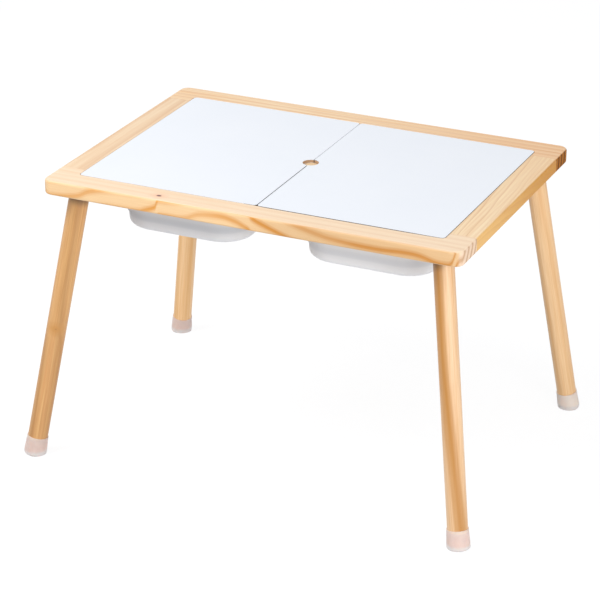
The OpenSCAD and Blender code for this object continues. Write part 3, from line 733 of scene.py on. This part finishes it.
def threadedRod(tree, length, diameter, pitch, outline):
    # a core with a three-sided ridge wound round it
    radius = addNode(tree, "ShaderNodeMath", [diameter, 0.5], operation="MULTIPLY").outputs[0]
    ridge = addNode(tree, "ShaderNodeMath", [diameter, thread["ridgeShare"]], operation="MULTIPLY").outputs[0]
    inner = addNode(tree, "ShaderNodeMath", [radius, ridge], operation="SUBTRACT").outputs[0]
    coreRadius = addNode(tree, "ShaderNodeMath", [inner, thread["coreShare"]],
                         operation="MULTIPLY").outputs[0]
    core = turnedForm(tree, length, coreRadius, outline, thread["coreSides"])
    turns = addNode(tree, "ShaderNodeMath", [length, pitch], operation="DIVIDE")
    line = addNode(tree, "GeometryNodeCurveSpiral", {
        "Resolution": thread["stepsInTurn"], "Rotations": turns.outputs[0], "Start Radius": inner,
        "End Radius": inner, "Height": length})
    line = followOutline(tree, line.outputs[0], length, outline)
    section = addNode(tree, "GeometryNodeCurvePrimitiveCircle", {
        "Resolution": thread["ridgeSides"], "Radius": ridge})
    wound = addNode(tree, "GeometryNodeCurveToMesh", {
        "Curve": line, "Profile Curve": section.outputs["Curve"], "Fill Caps": True})
    return [core, wound.outputs[0]]


def joinParts(tree, parts):
    whole = addNode(tree, "GeometryNodeJoinGeometry")
    for part in parts:
        tree.links.new(part, whole.inputs[0])
    return whole.outputs[0]


screwForm = {
    "headSides": 32, "rodOutline": [(0.0, 1.0), (0.7, 0.98), (0.86, 0.8), (1.0, 0.12)], "rodStart": 0.98,
    "crossReach": 4.6, "crossTaper": [(-0.5, 1.25), (0.0, 1.0), (0.5, 0.5)],
}


def cutCross(tree, head, width, depth):
    # two bars that narrow towards the recess's floor are cut out of the head
    cut = addNode(tree, "GeometryNodeMeshBoolean", {"Mesh 1": head}, operation="DIFFERENCE", solver="EXACT")
    long = addNode(tree, "ShaderNodeMath", [width, screwForm["crossReach"]], operation="MULTIPLY").outputs[0]
    deep = addNode(tree, "ShaderNodeMath", [depth, 2.0], operation="MULTIPLY").outputs[0]
    for sides in ([long, width, deep], [width, long, deep]):
        barSize = addNode(tree, "ShaderNodeCombineXYZ", sides).outputs[0]
        bar = addNode(tree, "GeometryNodeMeshCube", {"Size": barSize}).outputs["Mesh"]
        tree.links.new(followOutline(tree, bar, deep, screwForm["crossTaper"]), cut.inputs["Mesh 2"])
    return cut.outputs[0]


def screwTree(name, sizes, outline, dome, finish):
    tree, given = newFastenerTree(name, sizes)
    radius = addNode(tree, "ShaderNodeMath", [given["Head diameter"], 0.5], operation="MULTIPLY").outputs[0]
    head = turnedForm(tree, given["Head height"], radius, outline, screwForm["headSides"])
    # the rim of a round head lies lower than its middle
    spot = addNode(tree, "GeometryNodeInputPosition").outputs[0]
    spot = addNode(tree, "ShaderNodeSeparateXYZ", [spot]).outputs
    flat = addNode(tree, "ShaderNodeCombineXYZ", [spot[0], spot[1], 0.0])
    out = addNode(tree, "ShaderNodeVectorMath", [flat.outputs[0]], operation="LENGTH").outputs["Value"]
    out = addNode(tree, "ShaderNodeMath", [out, radius], operation="DIVIDE").outputs[0]
    bowl = addNode(tree, "ShaderNodeMath", [out, 2.0], operation="POWER").outputs[0]
    left = addNode(tree, "ShaderNodeMath", [given["Head height"], spot[2]], operation="SUBTRACT").outputs[0]
    drop = addNode(tree, "ShaderNodeMath", [bowl, left], operation="MULTIPLY").outputs[0]
    drop = addNode(tree, "ShaderNodeMath", [drop, dome], operation="MULTIPLY").outputs[0]
    drop = addNode(tree, "ShaderNodeCombineXYZ", {2: drop}).outputs[0]
    head = addNode(tree, "GeometryNodeSetPosition", {"Geometry": head, "Offset": drop}).outputs[0]
    head = cutCross(tree, head, given["Cross width"], given["Cross depth"])
    rodLength = addNode(tree, "ShaderNodeMath", [given["Length"], given["Head height"]],
                        operation="SUBTRACT").outputs[0]
    rod = threadedRod(tree, rodLength, given["Shank diameter"], given["Thread pitch"],
                      screwForm["rodOutline"])
    under = addNode(tree, "ShaderNodeMath", [given["Head height"], screwForm["rodStart"]],
                    operation="MULTIPLY").outputs[0]
    whole = joinParts(tree, [head] + [moveUp(tree, part, under) for part in rod])
    setOnPlaces(tree, given["Places"], whole, finish)
    return tree


def hangerBoltTree(name, sizes, hubOutline, woodOutline, finish):
    # a fine thread for the plate's hub, and a coarse thread that bites the leg
    tree, given = newFastenerTree(name, sizes)
    bite = addNode(tree, "ShaderNodeMath", [given["Length"], given["Hub length"]],
                   operation="SUBTRACT").outputs[0]
    fine = threadedRod(tree, given["Hub length"], given["Diameter"], given["Hub pitch"], hubOutline)
    coarse = threadedRod(tree, bite, given["Diameter"], given["Wood pitch"], woodOutline)
    whole = joinParts(tree, fine + [moveUp(tree, part, given["Hub length"]) for part in coarse])
    setOnPlaces(tree, given["Places"], whole, finish)
    return tree


def dowelTree(name, sizes, outline, sides, finish):
    # straight flutes let the glue out, and a small chamfer leads each end into its hole
    tree, given = newFastenerTree(name, sizes)
    radius = addNode(tree, "ShaderNodeMath", [given["Diameter"], 0.5], operation="MULTIPLY").outputs[0]
    bar = turnedForm(tree, given["Length"], radius, outline, sides)
    spot = addNode(tree, "GeometryNodeInputPosition").outputs[0]
    parts = addNode(tree, "ShaderNodeSeparateXYZ", [spot]).outputs
    angle = addNode(tree, "ShaderNodeMath", [parts[1], parts[0]], operation="ARCTAN2").outputs[0]
    flutes = addNode(tree, "ShaderNodeMath", [angle, given["Flutes"]], operation="MULTIPLY").outputs[0]
    wave = addNode(tree, "ShaderNodeMath", [flutes], operation="COSINE").outputs[0]
    groove = addNode(tree, "ShaderNodeMapRange", [wave, -1.0, 0.2, 1.0, 0.0],
                     interpolation_type="SMOOTHSTEP").outputs[0]
    depth = addNode(tree, "ShaderNodeMath", [given["Flute depth"], radius], operation="DIVIDE").outputs[0]
    shrink = addNode(tree, "ShaderNodeMath", [groove, depth], operation="MULTIPLY").outputs[0]
    width = addNode(tree, "ShaderNodeMath", [1.0, shrink], operation="SUBTRACT").outputs[0]
    scale = addNode(tree, "ShaderNodeCombineXYZ", [width, width, 1.0])
    moved = addNode(tree, "ShaderNodeVectorMath", [spot, scale.outputs[0]], operation="MULTIPLY").outputs[0]
    half = addNode(tree, "ShaderNodeMath", [given["Length"], -0.5], operation="MULTIPLY").outputs[0]
    down = addNode(tree, "ShaderNodeCombineXYZ", {2: half})
    bar = addNode(tree, "GeometryNodeSetPosition", {
        "Geometry": bar, "Position": moved, "Offset": down.outputs[0]}).outputs[0]
    setOnPlaces(tree, given["Places"], bar, finish)
    return tree


def layFasteners(name, tree, sizes, places, replaced):
    # places are (start, heading) pairs
    mesh = bpy.data.meshes.new(name + "Places")
    mesh.from_pydata([place for place, heading in places], [], [])
    pointsTo = mesh.attributes.new("pointsTo", "FLOAT_VECTOR", "POINT")
    for item, (place, heading) in zip(pointsTo.data, places):
        item.vector = heading
    holder = bpy.data.objects.new(name + "Places", mesh)
    bpy.context.scene.collection.objects.link(holder)
    modifier = holder.modifiers.new("fasteners", "NODES")
    modifier.node_group = tree
    for item in tree.interface.items_tree:
        if item.in_out == "INPUT" and item.name in sizes:
            modifier[item.identifier] = sizes[item.name]
    bpy.context.view_layer.update()
    made = bpy.data.meshes.new_from_object(holder.evaluated_get(bpy.context.evaluated_depsgraph_get()))
    holder.modifiers.remove(modifier)
    bpy.data.objects.remove(holder)
    made.shade_smooth()
    made.set_sharp_from_angle(angle=math.radians(35))
    piece = bpy.data.objects.new(name, made)
    bpy.context.scene.collection.objects.link(piece)
    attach(piece, "frame")
    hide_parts(replaced)


plateScrew = {
    "pitch": 0.038, "plateThickness": 0.0025, "dome": 0.3,
    "headOutline": [(0.0, 0.8), (0.3, 0.94), (0.65, 1.0), (1.0, 0.999)],
    "sizes": {"Head diameter": 0.008, "Head height": 0.0024, "Shank diameter": 0.004, "Length": 0.0169,
              "Thread pitch": 0.0016, "Cross width": 0.0011, "Cross depth": 0.0014},
}
half = plateScrew["pitch"] / 2
start = legTop.z - plateScrew["plateThickness"] - plateScrew["sizes"]["Head height"]
panHeadTree = screwTree("panHeadScrew", plateScrew["sizes"], plateScrew["headOutline"], plateScrew["dome"],
                        zincScrew)
layFasteners("plateScrews", panHeadTree, plateScrew["sizes"], [
    ((x * legTop.x + a * half, y * legTop.y + b * half, start), (0, 0, 1))
    for x, y in corners.values() for a, b in corners.values()], "plate_screws")

# countersunk screws, from the inner side of each ledge through it into the rail
ledgeScrew = {
    "longPitch": 0.190, "sidePitch": 0.140, "sideLength": 0.027, "dome": 0.0,
    "headOutline": [(0.0, 1.0), (0.08, 0.999), (1.0, 0.5)],
    "sizes": {**plateScrew["sizes"], "Head height": 0.002, "Length": 0.0335, "Thread pitch": 0.0018},
}
ledgeMiddle = boxMiddle("back_ledge").z
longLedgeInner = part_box("back_ledge")[0].y
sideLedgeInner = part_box("right_ledge")[0].x
binMiddle = boxMiddle("right_bin").x
half = ledgeScrew["longPitch"] / 2
countersunkTree = screwTree("countersunkScrew", ledgeScrew["sizes"], ledgeScrew["headOutline"],
                            ledgeScrew["dome"], zincScrew)
layFasteners("longLedgeScrews", countersunkTree, ledgeScrew["sizes"], [
    ((x * binMiddle + a * half, y * longLedgeInner, ledgeMiddle), (0, y, 0))
    for x, y in corners.values() for a in (-1, 1)], "ledge_screws")
sideSizes = {**ledgeScrew["sizes"], "Length": ledgeScrew["sideLength"]}
layFasteners("sideLedgeScrews", countersunkTree, sideSizes, [
    ((x * sideLedgeInner, b * ledgeScrew["sidePitch"], ledgeMiddle), (x, 0, 0))
    for x in (-1, 1) for b in (-1, 0, 1)], "ledge_screws")

hangerBolt = {
    "start": 0.002, "hubOutline": [(0.0, 0.93), (0.1, 1.0), (1.0, 0.999)],
    "woodOutline": [(0.0, 1.0), (0.8, 0.98), (0.92, 0.7), (1.0, 0.22)],
    "sizes": {"Diameter": 0.008, "Length": 0.044, "Hub length": 0.009, "Hub pitch": 0.00125,
              "Wood pitch": 0.0032},
}
boltPlaces = []
for x, y in corners.values():
    top = atCorner(legTop, x, y)
    down = (atCorner(legFoot, x, y) - top).normalized()
    boltPlaces.append((tuple(top + down * hangerBolt["start"]), tuple(down)))
boltTree = hangerBoltTree("hangerBolt", hangerBolt["sizes"], hangerBolt["hubOutline"],
                          hangerBolt["woodOutline"], zincScrew)
layFasteners("hangerBolts", boltTree, hangerBolt["sizes"], boltPlaces, "hanger_bolts")

dowel = {
    "railPitch": 0.040, "crossbarPitch": 0.048, "crossbarLength": 0.026, "sides": 72,
    "outline": [(0.0, 0.82), (0.042, 1.0), (0.958, 0.999), (1.0, 0.82)],
    "sizes": {"Diameter": 0.008, "Length": 0.036, "Flute depth": 0.0004, "Flutes": 12},
}
flutedDowelTree = dowelTree("flutedDowel", dowel["sizes"], dowel["outline"], dowel["sides"], beech)
sideRailMiddle = boxMiddle("right_rail")
railJoint = railLow.y                                     # where a side rail butts on a long one
half = dowel["railPitch"] / 2
layFasteners("railDowels", flutedDowelTree, dowel["sizes"], [
    ((x * sideRailMiddle.x + a * half, y * railJoint, sideRailMiddle.z), (0, 1, 0))
    for x, y in corners.values() for a in (-1, 1)], "rail_dowels")
half = dowel["crossbarPitch"] / 2
crossbarSizes = {**dowel["sizes"], "Length": dowel["crossbarLength"]}
layFasteners("crossbarDowels", flutedDowelTree, crossbarSizes, [
    ((a * half, y * longLedgeInner, ledgeMiddle), (0, 1, 0))
    for a, y in corners.values()], "crossbar_dowels")
print("fasteners: screws, bolts and dowels")


# a plain floor and world that show white, while the light they give the table stays soft and low
stageLook = {
    "floorSize": 14.0, "floorColour": "#D0D0D0", "shownWhite": 0.875, "shownShade": 0.18,
    "ambient": 0.62, "ambientColour": "#F7F9FF",
}


def seenRays(tree):
    # 1 for what the camera sees, straight, in a reflection or through a clear thing
    rays = addNode(tree, "ShaderNodeLightPath").outputs
    seen = addNode(tree, "ShaderNodeMath", [rays["Is Camera Ray"], rays["Is Glossy Ray"]],
                   operation="MAXIMUM").outputs[0]
    return addNode(tree, "ShaderNodeMath", [seen, rays["Is Transmission Ray"]],
                   operation="MAXIMUM").outputs[0]


def floorMaterial():
    # white matt paper that keeps the table's shadow; seen from below, the floor is clear
    material, tree = newMaterial("studioFloor")
    white = addNode(tree, "ShaderNodeEmission", {"Color": (1, 1, 1, 1), "Strength": stageLook["shownWhite"]})
    shade = addNode(tree, "ShaderNodeBsdfDiffuse", {"Color": [stageLook["shownShade"]] * 3 + [1]})
    shown = addNode(tree, "ShaderNodeAddShader", [white.outputs[0], shade.outputs[0]])
    plain = addNode(tree, "ShaderNodeBsdfDiffuse", {"Color": linearColour(stageLook["floorColour"])})
    upper = addNode(tree, "ShaderNodeMixShader", [seenRays(tree), plain.outputs[0], shown.outputs[0]])
    below = addNode(tree, "ShaderNodeNewGeometry").outputs["Backfacing"]
    clear = addNode(tree, "ShaderNodeBsdfTransparent")
    both = addNode(tree, "ShaderNodeMixShader", [below, upper.outputs[0], clear.outputs[0]])
    addNode(tree, "ShaderNodeOutputMaterial", {"Surface": both.outputs[0]})
    return material


bpy.ops.mesh.primitive_plane_add(size=stageLook["floorSize"])
floor = bpy.context.object
floor.name = "floor"
floor.data.materials.append(floorMaterial())

world = bpy.data.worlds.new("studio")
bpy.context.scene.world = world
world.use_nodes = True
tree = world.node_tree
tree.nodes.clear()
soft = addNode(tree, "ShaderNodeBackground", {
    "Color": linearColour(stageLook["ambientColour"]), "Strength": stageLook["ambient"]})
white = addNode(tree, "ShaderNodeBackground", {"Color": (1, 1, 1, 1), "Strength": 1.0})
mix = addNode(tree, "ShaderNodeMixShader", [seenRays(tree), soft.outputs[0], white.outputs[0]])
addNode(tree, "ShaderNodeOutputWorld", {"Surface": mix.outputs[0]})

lamps = {
    "keyLamp": {"place": (-1.5, -1.3, 2.9), "aim": (0, 0, 0.45), "size": 1.8, "watts": 52},
    "rightLamp": {"place": (2.0, -1.7, 0.75), "aim": (0.1, -0.05, 0.35), "size": 1.8, "watts": 33},
}
for name, lamp in lamps.items():
    light = bpy.data.lights.new(name, "AREA")
    light.shape = "DISK"
    light.size = lamp["size"]
    light.energy = lamp["watts"]
    holder = bpy.data.objects.new(name, light)
    holder.location = lamp["place"]
    heading = Vector(lamp["aim"]) - Vector(lamp["place"])
    holder.rotation_euler = heading.to_track_quat("-Z", "Y").to_euler()
    bpy.context.scene.collection.objects.link(holder)

# the camera stands to the right of the front and a little above the table
cameraView = {
    "azimuth": 23.869, "elevation": 23.928, "roll": 0.5656, "distance": 4.3729,
    "aim": (0, 0, 0.543), "aimRight": -0.019565, "aimUp": -0.250488, "lens": 143.99,
}
azimuth, elevation, roll = (math.radians(cameraView[key]) for key in ("azimuth", "elevation", "roll"))
ahead = Vector((-math.sin(azimuth) * math.cos(elevation), math.cos(azimuth) * math.cos(elevation),
                -math.sin(elevation)))
level = ahead.cross(Vector((0, 0, 1))).normalized()
upright = level.cross(ahead)
right = level * math.cos(roll) + upright * math.sin(roll)
up = upright * math.cos(roll) - level * math.sin(roll)
spot = (Vector(cameraView["aim"]) - ahead * cameraView["distance"]
        + right * cameraView["aimRight"] + up * cameraView["aimUp"])
camera = bpy.data.objects.new("camera", bpy.data.cameras.new("camera"))
camera.data.lens = cameraView["lens"]
camera.matrix_world = Matrix.Translation(spot) @ Matrix((right, up, -ahead)).transposed().to_4x4()
bpy.context.scene.collection.objects.link(camera)
bpy.context.scene.camera = camera
bpy.context.scene.view_settings.view_transform = "Standard"
print("floor, light and camera")
